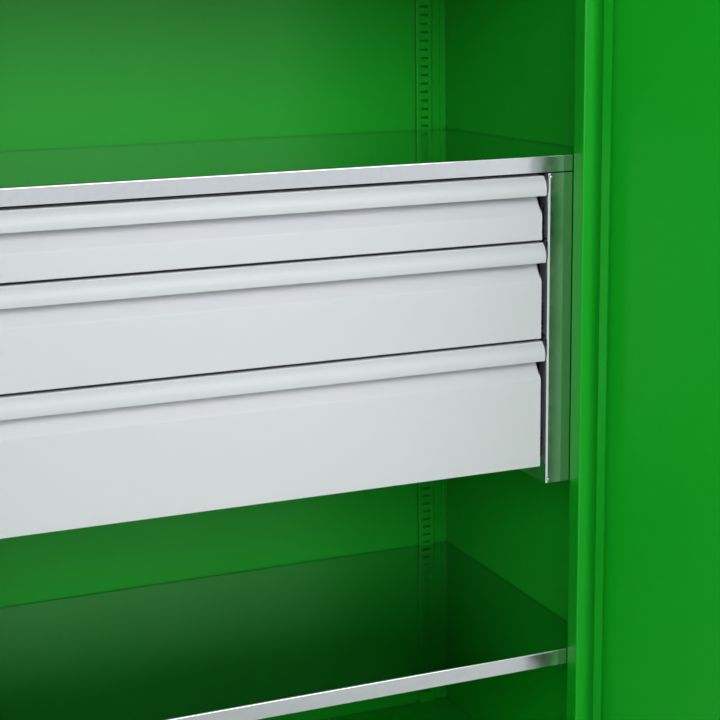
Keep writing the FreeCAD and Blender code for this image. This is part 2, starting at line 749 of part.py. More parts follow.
def slides():
    """Three nested channels on each side of each drawer: fixed, middle and drawer member."""
    for number_word, (low, front_high) in zip(("one", "two", "three"), drawer_levels()):
        middle = f"({low} + slide_up)"
        fixed, running, carried = [], [], []
        for side, word in SIDES:
            key = f"{number_word}_{word}"
            reach = f"{TUB_HALF} + slide_mouth"
            high, long, start = "slide_high", SLIDE_LONG, SLIDE_FRONT
            fixed.append(channel(f"slide_fixed_{key}", side, BRACKET_IN, reach, middle, high, long, start))
            web = f"{TUB_HALF} + slide_in + slide_play"
            reach = f"{BRACKET_IN} - slide_plate - slide_play"
            high, long = "(slide_high - slide_step)", f"{SLIDE_LONG} - 4*slide_stagger"
            start = f"{SLIDE_FRONT} + 2*slide_stagger"
            running.append(channel(f"slide_middle_{key}", side, web, reach, middle, high, long, start))
            reach = f"{TUB_HALF} + slide_in"
            high, long = "(slide_high - 2*slide_step)", f"{SLIDE_LONG} - 2*slide_stagger"
            start = f"{SLIDE_FRONT} + slide_stagger"
            carried.append(channel(f"slide_drawer_{key}", side, TUB_HALF, reach, middle, high, long, start))
        grouped(f"slide_fixed_{number_word}", fixed)
        grouped(f"slide_middle_{number_word}", running)
        grouped(f"slide_drawer_{number_word}", carried)


def drawer_front(name, low, high):
    """A folded sheet: flat face, slope into the finger recess, upright part behind the handle."""
    top = f"({low} + {high})"
    recess_low = f"({top} - handle_high - recess_past)"
    crease = f"({recess_low} - front_slope)"
    wall = "front_plate"
    mitre = f"{wall}*0.25"
    back = TUB_FRONT
    corners = (
        (PLANE, low),
        (back, low),
        (back, f"{low} + {wall}"),
        (f"{PLANE} + {wall}", f"{low} + {wall}"),
        (f"{PLANE} + {wall}", f"{crease} - {mitre}"),
        (f"{RECESS} + {wall}", f"{recess_low} - {mitre}"),
        (f"{RECESS} + {wall}", f"{top} - {wall}"),
        (back, f"{top} - {wall}"),
        (back, top),
        (RECESS, top),
        (RECESS, recess_low),
        (PLANE, crease),
    )
    face = prism(
        f"{name}_face",
        "YZ_Plane",
        [corners],
        f"-{FRONT_HALF}",
        f"2*{FRONT_HALF}",
        [((0,), "front_low_bend"), ((9,), "front_top_bend"), ((10, 11), "crease_bend")],
    )
    del pieces[f"{name}_face"]
    ends = []
    for side, word in SIDES:
        start = f"-{FRONT_HALF}" if side == LEFT else f"{FRONT_HALF} - {wall}"
        inner = (
            (f"{PLANE} + {wall}/2", f"{low} + {wall}/2"),
            (back, f"{low} + {wall}/2"),
            (back, f"{top} - {wall}/2"),
            (f"{RECESS} + {wall}/2", f"{top} - {wall}/2"),
            (f"{RECESS} + {wall}/2", recess_low),
            (f"{PLANE} + {wall}/2", crease),
        )
        end = prism(f"{name}_end_{word}", "YZ_Plane", [inner], start, wall)
        del pieces[f"{name}_end_{word}"]
        ends.append(end)
    keep(name, joined(f"{name}_joined", [face] + ends))


def drawer_handle(name, low, high):
    """A strip with a convex face that overhangs the finger recess and a leg that lies on the front."""
    top = f"({low} + {high})"
    bottom = f"({top} - handle_high)"
    wall = "handle_wall"
    brow, chin = f"({PLANE} - handle_brow)", f"({PLANE} - handle_chin)"
    leg = f"({RECESS} - {wall})"
    corners = (
        (brow, top),
        (chin, bottom),
        (f"{chin} + {wall}", bottom),
        (f"{brow} + handle_edge", f"{top} - {wall}"),
        (leg, f"{top} - {wall}"),
        (leg, f"{top} - handle_leg"),
        (RECESS, f"{top} - handle_leg"),
        (RECESS, top),
    )
    arcs = {0: ("handle_radius", -1), 2: (f"handle_radius - {wall}", 1)}
    prism(name, "YZ_Plane", [corners], f"-{FRONT_HALF}", f"2*{FRONT_HALF}", [((0,), "handle_edge")], arcs)


def drawer_tub(name, low, high):
    floor = f"({low} + tub_low)"
    start = f"({RECESS} + front_plate)"
    made = tray(
        name,
        (f"-{TUB_HALF}", start, floor),
        (f"2*{TUB_HALF}", f"{TUB_BACK} - {start}", f"{high} - tub_room"),
        "tub_plate",
        "top",
    )
    keep(name, made)


def drawers():
    for number_word, (low, high) in zip(("one", "two", "three"), drawer_levels()):
        drawer_tub(f"drawer_tub_{number_word}", low, high)
        drawer_front(f"drawer_front_{number_word}", low, high)
        drawer_handle(f"drawer_handle_{number_word}", low, high)


# Doors, drawn shut in a frame whose origin is the hinge axis, then turned open
def hang(side, thing):
    """Put a door piece on its hinge axis at the rest angle."""
    turned = document.addObject("Part::Compound", f"{thing.Name}_hung")
    turned.Links = [thing]
    turned.Placement = FreeCAD.Placement(V(0, 0, 0), FreeCAD.Rotation(V(0, 0, 1), number("door_angle")))
    bind(turned, Placement__Base__x=f"{side}*{AXIS_X}", Placement__Base__y=AXIS_Y)
    bind(turned, Placement__Rotation__Angle=f"{side}*door_angle")
    return turned


def door_x(side, from_edge, wide):
    """Low X and size in the door's frame of a thing that starts from_edge from the hinge edge."""
    if side == RIGHT:
        return f"axis_in - ({from_edge}) - ({wide})", wide
    return f"-axis_in + ({from_edge})", wide


def door_block(name, side, from_edge, wide, y, z, dy, dz):
    x, dx = door_x(side, from_edge, wide)
    return block(name, x, y, z, dx, dy, dz)


def door_skins():
    for side, word in SIDES:
        high = f"({DOOR_HIGH} - {DOOR_LOW})"
        name = f"door_outer_{word}"
        outer = door_block(name, side, "0", DOOR_WIDE, "-axis_back", DOOR_LOW, "door_thick", high)
        rounded = document.addObject("Part::Fillet", f"door_rounded_{word}")
        rounded.Base = outer
        document.recompute()
        edges = []
        for i, edge in enumerate(outer.Shape.Edges, start=1):
            middle = edge.CenterOfMass
            if abs(middle.y + number("axis_back")) < 1e-3:
                edges.append((i, number("bend"), number("bend")))
        rounded.Edges = edges
        cavity = door_block(
            f"door_cavity_{word}",
            side,
            "plate",
            f"{DOOR_WIDE} - 2*plate",
            "-axis_back + plate",
            f"{DOOR_LOW} + plate",
            "door_thick - 2*plate",
            f"{high} - 2*plate",
        )
        mouth = door_block(
            f"door_mouth_{word}",
            side,
            "hinge_lip",
            f"{DOOR_WIDE} - hinge_lip - door_lip",
            "0",
            f"{DOOR_LOW} + door_lip",
            "door_thick",
            f"{high} - 2*door_lip",
        )
        tools = [cavity, mouth]
        for place, at in (("low", f"{DOOR_LOW} - past"), ("high", f"{DOOR_HIGH} - plate - past")):
            tools.append(rod(f"door_bush_hole_{word}_{place}", "0", "0", at, BUSH_RADIUS, "plate + 2*past"))
        if side == RIGHT:
            x, y = f"-{ROD_LOCAL_X}", "-axis_back - past"
            radius, long = "spindle_radius + spindle_clear", "plate + 2*past"
            tools.append(rod("spindle_hole", x, y, "lock_height", radius, long, "Y"))
        keep(f"door_skin_{word}", hang(side, cut(f"door_pan_{word}", rounded, tools)))


def hinges():
    brackets, pins, screws = [], [], []
    leg_face = f"{FRONT} - hinge_plate"
    for side, word in SIDES:
        for place in ("low", "high"):
            key = f"{word}_{place}"
            low_end = place == "low"
            arm_z = f"({DOOR_LOW} - hinge_gap - hinge_plate)" if low_end else f"({DOOR_HIGH} + hinge_gap)"
            leg_z = f"({arm_z} + hinge_plate - hinge_leg)" if low_end else arm_z
            leg_in, far = f"{AXIS_X} - hinge_foot", f"{HALF} - door_side"
            arm_y = f"{AXIS_Y} - axis_back + hinge_set"
            arm_long = f"{FRONT} - {AXIS_Y} + axis_back - hinge_set"
            ear, thick = f"{AXIS_X} - hinge_ear", "hinge_plate"
            arm = side_block(f"hinge_arm_{key}", side, ear, far, arm_y, arm_z, arm_long, thick)
            leg = side_block(f"hinge_leg_{key}", side, leg_in, far, leg_face, leg_z, thick, "hinge_leg")
            body = joined(f"hinge_body_{key}", [arm, leg])
            axis_x, hole_z = f"{side}*{AXIS_X}", f"{arm_z} - past"
            hole = rod(f"hinge_hole_{key}", axis_x, AXIS_Y, hole_z, "pin_radius", "hinge_plate + 2*past")
            brackets.append(cut(f"hinge_bracket_{key}", body, [hole]))
            pin_z = arm_z if low_end else f"{DOOR_HIGH} - bush_long - pin_over"
            pin_long = "hinge_plate + hinge_gap + bush_long + pin_over"
            pins.append(rod(f"hinge_pin_{key}", axis_x, AXIS_Y, pin_z, "pin_radius", pin_long))
            for screw in ("hinge_screw_one", "hinge_screw_two"):
                screw_x = f"{side}*({leg_in} + {screw})"
                screw_y = f"{leg_face} - screw_thick"
                screw_z = f"{leg_z} + hinge_leg/2"
                place = (screw_x, screw_y, screw_z)
                screws.append(rod(f"{screw}_{key}", *place, "screw_radius", "screw_thick", "Y"))
    grouped("hinge_brackets", brackets)
    grouped("hinge_pins", pins)
    grouped("hinge_screws", screws)


def bushes():
    for side, word in SIDES:
        made = []
        for place, at in (("low", DOOR_LOW), ("high", f"{DOOR_HIGH} - bush_long")):
            outer = rod(f"bush_outer_{word}_{place}", "0", "0", at, BUSH_RADIUS, "bush_long")
            long = "bush_long + 2*past"
            bore = rod(f"bush_bore_{word}_{place}", "0", "0", f"{at} - past", "pin_radius + pin_clear", long)
            made.append(cut(f"bush_{word}_{place}", outer, [bore]))
        group = document.addObject("Part::Compound", f"bush_pair_{word}")
        group.Links = made
        keep(f"hinge_bushes_{word}", hang(side, group))


def lock():
    """Lever, back plate, key barrel, case and cam on the right door."""
    x = f"-{ROD_LOCAL_X}"
    plate_out = "(-axis_back - rosette_thick)"
    rosette = block(
        "rosette_plate",
        f"{x} - rosette_wide/2",
        plate_out,
        "lock_height - rosette_drop",
        "rosette_wide",
        "rosette_thick",
        "rosette_high",
    )
    barrel_z = "(lock_height - barrel_drop)"
    hole_y, hole_long = f"{plate_out} - past", "rosette_thick + 2*past"
    holes = [
        rod("rosette_hole", x, hole_y, "lock_height", "spindle_radius + spindle_clear", hole_long, "Y"),
        rod("rosette_barrel_hole", x, hole_y, barrel_z, "barrel_radius + barrel_clear", hole_long, "Y"),
    ]
    keep("handle_plate", hang(RIGHT, cut("rosette", rosette, holes)))
    lever_y = f"({plate_out} - lever_stand - play)"
    hub = rod("lever_hub_bar", x, lever_y, "lock_height", "lever_hub", "lever_stand", "Y")
    grip_z = "lock_height - lever_wide/2"
    grip = block("lever_grip", x, lever_y, grip_z, "lever_long", "lever_thick", "lever_wide")
    tip = rod("lever_tip", f"{x} + lever_long", lever_y, "lock_height", "lever_wide/2", "lever_thick", "Y")
    spindle_y = f"({plate_out} - past)"
    spindle_long = f"{DOOR_IN} + spindle_in - {spindle_y}"
    spindle = rod("spindle_bar", x, spindle_y, "lock_height", "spindle_radius", spindle_long, "Y")
    keep("door_lever", hang(RIGHT, joined("lever", [hub, grip, tip, spindle])))
    barrel_y = f"({plate_out} - barrel_stand)"
    barrel_long = "rosette_thick + barrel_stand - barrel_short"
    barrel = rod("barrel", x, barrel_y, barrel_z, "barrel_radius", barrel_long, "Y")
    keyway = block(
        "keyway",
        f"{x} - keyway_wide/2",
        f"{barrel_y} - past",
        f"{barrel_z} - keyway_high/2",
        "keyway_wide",
        "keyway_deep + past",
        "keyway_high",
    )
    keep("key_barrel", hang(RIGHT, cut("key_barrel_cut", barrel, [keyway])))
    case_x, case_z = f"{x} - case_wide/2", "lock_height - case_high/2"
    case_outer = block("case_outer", case_x, DOOR_IN, case_z, "case_wide", "case_deep", "case_high")
    case_inner = block(
        "case_inner",
        f"{case_x} + plate",
        f"{DOOR_IN} - past",
        f"{case_z} + plate",
        "case_wide - 2*plate",
        "case_deep - plate + past",
        "case_high - 2*plate",
    )
    rod_z, rod_room = "lock_height - case_high", "rod_radius + rod_clear"
    rod_hole = rod("case_rod_hole", x, ROD_LOCAL_Y, rod_z, rod_room, "2*case_high")
    keep("lock_case", hang(RIGHT, cut("case", case_outer, [case_inner, rod_hole])))
    cam = rod("cam_disc", x, f"{DOOR_IN} + cam_gap", "lock_height", "cam_radius", "cam_thick", "Y")
    cam_hole = rod("cam_hole", x, DOOR_IN, "lock_height", "spindle_radius", "cam_gap + cam_thick + past", "Y")
    keep("lock_cam", hang(RIGHT, cut("cam", cam, [cam_hole])))


def locking_rods():
    """The two rods that the cam drives up and down, and their guides."""
    x = f"-{ROD_LOCAL_X}"
    start = "(cam_radius + rod_cam_gap)"
    upper_end = f"(lock_height + {start})"
    upper_long = f"({HEAD_LOW} - rod_short - {upper_end})"
    upper = rod("upper_bar", x, ROD_LOCAL_Y, upper_end, "rod_radius", upper_long)
    keep("rod_upper", hang(RIGHT, upper))
    lower_end = f"({FLOOR_TOP} + rod_short)"
    lower_long = f"(lock_height - {start} - {lower_end})"
    lower = rod("lower_bar", x, ROD_LOCAL_Y, lower_end, "rod_radius", lower_long)
    keep("rod_lower", hang(RIGHT, lower))
    guides = []
    levels = (
        f"{FLOOR_TOP} + guide_end",
        "lock_height - case_high/2 - guide_case",
        "lock_height + case_high/2 + guide_case - guide_long",
        f"{HEAD_LOW} - guide_end - guide_long",
    )
    guide_wide = "(rod_in - guide_in + rod_radius + rod_clear + guide_wall)"
    guide_deep = "rod_off + rod_radius + guide_wall"
    for i, z in enumerate(levels):
        guide_x = f"{x} - rod_in + guide_in"
        body = block(f"guide_{i}", guide_x, DOOR_IN, z, guide_wide, guide_deep, "guide_long")
        bore_long = "guide_long + 2*past"
        bore = rod(f"guide_bore_{i}", x, ROD_LOCAL_Y, f"{z} - past", "rod_radius + rod_clear", bore_long)
        guides.append(cut(f"guide_bored_{i}", body, [bore]))
    group = document.addObject("Part::Compound", "guide_group")
    group.Links = guides
    keep("rod_guides", hang(RIGHT, group))


def overlap_strip():
    """A strip on the left door that the right door shuts against."""
    start = f"{DOOR_WIDE} - door_lip + strip_in"
    low = f"{DOOR_LOW} + door_lip + strip_end"
    high = f"{DOOR_HIGH} - {DOOR_LOW} - 2*door_lip - 2*strip_end"
    wide = "door_lip - strip_in + door_middle + strip_over"
    strip = door_block("strip", LEFT, start, wide, f"{DOOR_IN} + play", low, "plate", high)
    foot_wide = "door_lip - strip_in - strip_rest"
    foot = door_block("strip_foot", LEFT, start, foot_wide, DOOR_IN, low, "play", high)
    keep("overlap_strip", hang(LEFT, joined("strip_joined", [strip, foot])))


def buffers():
    """Rubber discs on the posts that the doors close on."""
    made = []
    for side, word in SIDES:
        for place, z in (("low", f"{DOOR_LOW} + door_lip/2"), ("high", f"{DOOR_HIGH} - door_lip/2")):
            x = f"{side}*({OPENING} + buffer_in)"
            y = f"{FRONT} - door_gap + play"
            made.append(rod(f"buffer_{word}_{place}", x, y, z, "buffer_radius", "door_gap - play", "Y"))
    grouped("door_buffers", made)


def check(thing):
    return not thing.Shape.isNull() and thing.Shape.isValid() and len(thing.Shape.Solids) > 0


for make in (
    base_frame,
    floor_panel,
    side_panels,
    back_panel,
    roof_panel,
    front_posts,
    rear_uprights,
    rails,
    shelves,
    shelf_clips,
    drawer_brackets,
    tie_bars,
    slides,
    drawers,
    door_skins,
    hinges,
    bushes,
    lock,
    locking_rods,
    overlap_strip,
    buffers,
):
    make()
document.recompute()

failed = [item.Name for item in document.Objects if "Invalid" in item.State or "Error" in item.State]
failed += [name for name, thing in pieces.items() if not check(thing)]
if failed:
    raise RuntimeError(f"these objects failed: {failed}")

os.makedirs("parts", exist_ok=True)
for name, thing in pieces.items():
    thing.Shape.exportStep(os.path.join("parts", f"{name}.step"))
print(len(pieces), "nodes written")
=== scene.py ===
"""Finishes, small fittings and the studio of a heavy-duty steel cupboard with a hung block of drawers."""

import json
import math

import bmesh
import bpy
from bpy.props import FloatProperty, FloatVectorProperty, PointerProperty
from mathutils import Matrix, Vector


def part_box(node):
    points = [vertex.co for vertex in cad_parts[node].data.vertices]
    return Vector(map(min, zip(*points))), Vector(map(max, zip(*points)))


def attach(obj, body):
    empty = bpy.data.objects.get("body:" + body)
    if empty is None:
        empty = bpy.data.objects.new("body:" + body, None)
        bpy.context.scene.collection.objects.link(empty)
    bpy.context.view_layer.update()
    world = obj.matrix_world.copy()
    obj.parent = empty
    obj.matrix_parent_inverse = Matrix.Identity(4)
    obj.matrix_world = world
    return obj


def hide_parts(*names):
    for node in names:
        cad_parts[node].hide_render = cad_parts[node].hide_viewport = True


bl_info = {
    "name": "Workshop cupboard",
    "version": (1, 0, 0),
    "blender": (4, 5, 0),
    "location": "View3D > Sidebar > Cupboard",
    "description": "Finishes, fittings and studio of a steel cupboard with drawers",
    "category": "Object",
}

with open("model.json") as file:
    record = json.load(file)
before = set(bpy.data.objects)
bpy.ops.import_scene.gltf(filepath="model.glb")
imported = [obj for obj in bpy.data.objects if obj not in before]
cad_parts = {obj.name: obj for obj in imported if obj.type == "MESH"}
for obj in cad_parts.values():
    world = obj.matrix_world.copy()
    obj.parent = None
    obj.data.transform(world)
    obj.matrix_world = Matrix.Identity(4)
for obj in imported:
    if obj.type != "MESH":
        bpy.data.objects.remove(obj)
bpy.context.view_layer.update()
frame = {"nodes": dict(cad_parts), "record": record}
NODES = frame["nodes"]
MM = 0.001

GREEN_NODES = (
    "base_frame", "floor_panel", "side_panel_left", "side_panel_right", "back_panel", "roof_panel",
    "front_post_left", "front_post_right", "rear_upright_left", "rear_upright_right", "header_rail",
    "sill_rail",
    "door_skin_left", "door_skin_right", "overlap_strip",
)
SHELF_NODES = ("shelf_at_top", "shelf_above_drawers", "shelf_below_drawers")
BRACKET_NODES = ("drawer_bracket_left", "drawer_bracket_right", "tie_bars", "shelf_clips", "lock_case")
PLATED_NODES = (
    "hinge_brackets", "hinge_pins", "hinge_screws", "hinge_bushes_left", "hinge_bushes_right",
    "rod_upper", "rod_lower", "lock_cam", "key_barrel",
)
LEVELS = ("one", "two", "three")
FOLD_ANGLE = 32
CLOUD_MM = 260
LAMP_AIM = (0, 0, 1.1)
DRAWER_COAT = "light grey polyester powder coat"
SIDES = (-1, 1)


def linear(code):
    """An sRGB hex colour as linear red, green and blue."""
    values = [int(code[i:i + 2], 16) / 255 for i in (1, 3, 5)]
    return tuple(v / 12.92 if v <= 0.04045 else ((v + 0.055) / 1.055) ** 2.4 for v in values)


def per_metre(size_mm):
    """A texture scale whose pattern repeats about once in a size in millimetres."""
    return 1000 / size_mm


class PaintSettings(bpy.types.PropertyGroup):
    body: FloatVectorProperty(
        name="Body colour", description="Powder coat of the body and the doors", subtype="COLOR",
        size=3, min=0, max=1, default=linear("#0EA41F"),
    )
    drawer: FloatVectorProperty(
        name="Drawer colour", description="Powder coat of the drawers", subtype="COLOR",
        size=3, min=0, max=1, default=linear("#D2D3D9"),
    )
    peel: FloatProperty(
        name="Peel", description="Size of the coat's orange peel in millimetres", default=2.2, min=0.2
    )
    body_gloss: FloatProperty(name="Body roughness", description="Roughness of the green coat", default=0.38)
    drawer_gloss: FloatProperty(
        name="Drawer roughness", description="Roughness of the grey coat", default=0.42
    )
    # Seam sets how far the painted shade reaches into slots, seams and inside corners.
    seam: FloatProperty(
        name="Seam", description="Width of the places that dust darkens", default=9 * MM, unit="LENGTH"
    )
    body_sheen: FloatProperty(
        name="Body reflection", description="Level of the green coat's reflection", default=0.28
    )
    drawer_sheen: FloatProperty(
        name="Drawer reflection", description="Level of the grey coat's reflection", default=0.5
    )


class FoldSettings(bpy.types.PropertyGroup):
    sheet: FloatProperty(
        name="Sheet", description="Thickness of a front's sheet", default=1.5 * MM, unit="LENGTH"
    )
    slope: FloatProperty(
        name="Slope", description="Height of a front's sloping part", default=28 * MM, unit="LENGTH"
    )
    past: FloatProperty(
        name="Recess depth", description="From the handle strip's lower edge to the slope",
        default=2 * MM, unit="LENGTH"
    )
    crease: FloatProperty(
        name="Crease", description="Radius of the folds at both ends of the slope", default=6 * MM,
        unit="LENGTH"
    )
    hem: FloatProperty(
        name="Hem", description="Radius of a front's lower edge", default=2 * MM, unit="LENGTH"
    )
    wall: FloatProperty(
        name="Strip wall", description="Wall of the handle strip", default=2 * MM, unit="LENGTH"
    )
    brow: FloatProperty(
        name="Brow", description="How far the strip's upper edge stands out", default=4.5 * MM, unit="LENGTH"
    )
    chin: FloatProperty(
        name="Chin", description="How far the strip's lower edge stands out", default=11.5 * MM, unit="LENGTH"
    )
    belly: FloatProperty(
        name="Belly", description="Radius of the handle strip's face", default=26 * MM, unit="LENGTH"
    )
    edge: FloatProperty(
        name="Strip edge", description="Radius of the handle strip's upper edge", default=1.8 * MM,
        unit="LENGTH"
    )
    leg: FloatProperty(
        name="Leg", description="Height of the leg behind the strip", default=22 * MM, unit="LENGTH"
    )


class SteelSettings(bpy.types.PropertyGroup):
    zinc: FloatVectorProperty(
        name="Zinc", description="Colour of the galvanised sheet", subtype="COLOR",
        size=3, min=0, max=1, default=linear("#C6CBCF"),
    )
    plated: FloatVectorProperty(
        name="Plated", description="Colour of the plated fittings", subtype="COLOR",
        size=3, min=0, max=1, default=linear("#C9CCD0"),
    )
    spangle: FloatProperty(
        name="Spangle", description="Size of the zinc's crystals in millimetres", default=9, min=1
    )
    sheet_gloss: FloatProperty(
        name="Sheet roughness", description="Roughness of the galvanised sheet", default=0.1
    )


class FittingSettings(bpy.types.PropertyGroup):
    ball: FloatProperty(
        name="Ball", description="Diameter of a slide's balls", default=2.3 * MM, unit="LENGTH"
    )
    ball_pitch: FloatProperty(
        name="Ball pitch", description="Distance from ball to ball", default=9 * MM, unit="LENGTH"
    )
    weld: FloatProperty(
        name="Weld mark", description="Diameter of a spot weld's mark", default=7 * MM, unit="LENGTH"
    )
    weld_pitch: FloatProperty(
        name="Weld pitch", description="Distance between welds", default=110 * MM, unit="LENGTH"
    )
    rivet: FloatProperty(
        name="Rivet", description="Diameter of a rivet's head", default=4.5 * MM, unit="LENGTH"
    )
    lever: FloatProperty(
        name="Lever", description="Width of the lever's grip", default=20 * MM, unit="LENGTH"
    )
    lever_thick: FloatProperty(
        name="Lever thickness", description="Thickness of the lever's grip", default=12 * MM, unit="LENGTH"
    )
    lever_stand: FloatProperty(
        name="Lever stand", description="Length of the lever's hub", default=22 * MM, unit="LENGTH"
    )
    hub: FloatProperty(name="Hub", description="Radius of the lever's hub", default=14 * MM, unit="LENGTH")
    spindle: FloatProperty(
        name="Spindle", description="Radius of the lever's spindle", default=5 * MM, unit="LENGTH"
    )
    soft: FloatProperty(
        name="Soft edge", description="Radius of the lever's edges", default=4 * MM, unit="LENGTH"
    )


class StageSettings(bpy.types.PropertyGroup):
    place: FloatVectorProperty(
        name="Camera place", description="Where the camera stands", subtype="TRANSLATION", size=3,
        unit="LENGTH",
        default=(-0.752, -2.342, 1.454),
    )
    turn: FloatProperty(name="Turn", description="How far the camera turns right", default=20.53)
    dip: FloatProperty(name="Dip", description="How far the camera looks down", default=10.99)
    roll: FloatProperty(name="Roll", description="How far the camera leans", default=-1.22)
    lens: FloatProperty(name="Lens", description="Focal length in millimetres", default=80.8)
    shift: FloatVectorProperty(
        name="Shift", description="Sideways and upward shift of the frame", size=2, default=(0.1, -0.06)
    )
    front: FloatProperty(name="Front", description="Power of the softbox over the front in watts", default=92)
    left: FloatProperty(
        name="Left", description="Power of the softbox at the front left in watts", default=57
    )
    right: FloatProperty(
        name="Right", description="Power of the softbox at the front right in watts", default=50
    )
    round: FloatProperty(
        name="Round", description="Power of each softbox beside and behind in watts", default=75
    )
    room: FloatProperty(name="Room", description="Strength of the room's light", default=0.04)
    fade_start: FloatProperty(
        name="Fade start", description="Where the floor starts to pale, from the middle", default=0.9,
        unit="LENGTH"
    )
    fade_end: FloatProperty(
        name="Fade end", description="Where the floor is as white as the backdrop", default=3.2, unit="LENGTH"
    )
    floor: FloatVectorProperty(
        name="Floor", description="Colour of the floor", subtype="COLOR", size=3, min=0, max=1,
        default=linear("#E9E9E7"),
    )


def settings():
    return bpy.context.scene.cupboard


class CupboardSettings(bpy.types.PropertyGroup):
    paint: PointerProperty(type=PaintSettings, name="Paint", description="The two powder coats")
    fold: PointerProperty(
        type=FoldSettings, name="Folds", description="Folded drawer fronts and handle strips"
    )
    steel: PointerProperty(type=SteelSettings, name="Steel", description="Bare metal")
    fitting: PointerProperty(type=FittingSettings, name="Fittings", description="Balls, welds and rivets")
    stage: PointerProperty(type=StageSettings, name="Stage", description="Camera, lamps and floor")


def add(tree, kind, links=None, **values):
    """Add a node, set its properties and inputs, and link its inputs to other nodes' outputs."""
    made = tree.nodes.new(kind)
    for name, value in values.items():
        if hasattr(made, name):
            setattr(made, name, value)
        else:
            made.inputs[name.replace("_", " ")].default_value = value
    for socket, source in (links or {}).items():
        tree.links.new(source, made.inputs[socket])
    return made


def new_material(name):
    """A material with an output and a shader, and the object's own coordinates."""
    material = bpy.data.materials.new(name)
    material.use_nodes = True
    tree = material.node_tree
    tree.nodes.clear()
    output = tree.nodes.new("ShaderNodeOutputMaterial")
    shader = tree.nodes.new("ShaderNodeBsdfPrincipled")
    tree.links.new(shader.outputs["BSDF"], output.inputs["Surface"])
    place = tree.nodes.new("ShaderNodeTexCoord").outputs["Object"]
    return material, tree, shader, place


def shade(tree, factor, low, high):
    """A colour between two linear colours."""
    ramp = tree.nodes.new("ShaderNodeMix")
    ramp.data_type = "RGBA"
    tree.links.new(factor, ramp.inputs[0])
    ramp.inputs[6].default_value = (*low, 1)
    ramp.inputs[7].default_value = (*high, 1)
    return ramp.outputs[2]


def between(tree, factor, low, high):
    """A number between two numbers."""
    made = add(
        tree, "ShaderNodeMapRange", {"Value": factor}, From_Min=0.3, From_Max=0.7, To_Min=low, To_Max=high
    )
    return made.outputs["Result"]


def powder_coat(name, colour, roughness, peel_mm, level, seam):
    """Polyester powder baked on steel: a satin skin with a fine orange peel and almost even colour.
    The real peel is about 1 mm across, and it is drawn coarser so that it shows.
    Painted shade darkens the narrow places, so that slots and seams stand out."""
    material, tree, shader, place = new_material(name)
    cloud = add(
        tree, "ShaderNodeTexNoise", {"Vector": place}, Scale=per_metre(CLOUD_MM), Detail=3.0,
        Roughness=0.5,
    )
    low = [c * 0.965 for c in colour]
    high = [min(1, c * 1.03) for c in colour]
    coat = shade(tree, cloud.outputs["Fac"], low, high)
    # Painted shade: the coat's colour is darkened where ambient occlusion finds other surfaces close by, in
    # slots, seams and inside corners.
    narrow = add(tree, "ShaderNodeAmbientOcclusion", samples=6, Distance=seam)
    shade_factor = add(
        tree, "ShaderNodeMapRange", {"Value": narrow.outputs["AO"]}, From_Min=0.15, From_Max=0.6, To_Min=0.15
    )
    shaded_coat = add(
        tree, "ShaderNodeVectorMath", {0: coat, "Scale": shade_factor.outputs["Result"]}, operation="SCALE"
    )
    tree.links.new(shaded_coat.outputs["Vector"], shader.inputs["Base Color"])
    peel = add(
        tree, "ShaderNodeTexNoise", {"Vector": place}, Scale=per_metre(peel_mm), Detail=2.0,
        Roughness=0.55,
    )
    gloss = between(tree, cloud.outputs["Fac"], roughness - 0.02, roughness + 0.03)
    tree.links.new(gloss, shader.inputs["Roughness"])
    bump = add(tree, "ShaderNodeBump", {"Height": peel.outputs["Fac"]}, Strength=0.12, Distance=0.05 * MM)
    tree.links.new(bump.outputs["Normal"], shader.inputs["Normal"])
    shader.inputs["Specular IOR Level"].default_value = level
    return material


def galvanised(name, colour, roughness, spangle_mm):
    """Skin-passed galvanised sheet: a smooth bright metal, nearly a mirror, with very faint crystals."""
    material, tree, shader, place = new_material(name)
    crystals = add(
        tree, "ShaderNodeTexVoronoi", {"Vector": place}, Scale=per_metre(spangle_mm), Randomness=1.0
    )
    tone = add(tree, "ShaderNodeSeparateColor", {"Color": crystals.outputs["Color"]})
    low = [c * 0.97 for c in colour]
    tree.links.new(shade(tree, tone.outputs["Red"], low, colour), shader.inputs["Base Color"])
    gloss = add(
        tree, "ShaderNodeMapRange", {"Value": tone.outputs["Green"]}, To_Min=roughness - 0.01,
        To_Max=roughness + 0.02
    )
    tree.links.new(gloss.outputs["Result"], shader.inputs["Roughness"])
    rolling = add(tree, "ShaderNodeTexNoise", {"Vector": place}, Scale=per_metre(40), Detail=1.0)
    bump = add(tree, "ShaderNodeBump", {"Height": rolling.outputs["Fac"]}, Strength=0.05, Distance=0.05 * MM)
    tree.links.new(bump.outputs["Normal"], shader.inputs["Normal"])
    shader.inputs["Metallic"].default_value = 1
    return material


def zinc_plated(name, colour):
    """Drawn steel with bright zinc plating: fine lines along the length and an even gloss."""
    material, tree, shader, place = new_material(name)
    stretched = add(tree, "ShaderNodeMapping", {"Vector": place}, Scale=(1, 0.02, 1))
    lines = add(
        tree, "ShaderNodeTexNoise", {"Vector": stretched.outputs["Vector"]}, Scale=per_metre(1.5),
        Detail=3.0,
    )
    low = [c * 0.9 for c in colour]
    tree.links.new(shade(tree, lines.outputs["Fac"], low, colour), shader.inputs["Base Color"])
    tree.links.new(between(tree, lines.outputs["Fac"], 0.24, 0.34), shader.inputs["Roughness"])
    bump = add(tree, "ShaderNodeBump", {"Height": lines.outputs["Fac"]}, Strength=0.1, Distance=0.02 * MM)
    tree.links.new(bump.outputs["Normal"], shader.inputs["Normal"])
    shader.inputs["Metallic"].default_value = 1
    return material


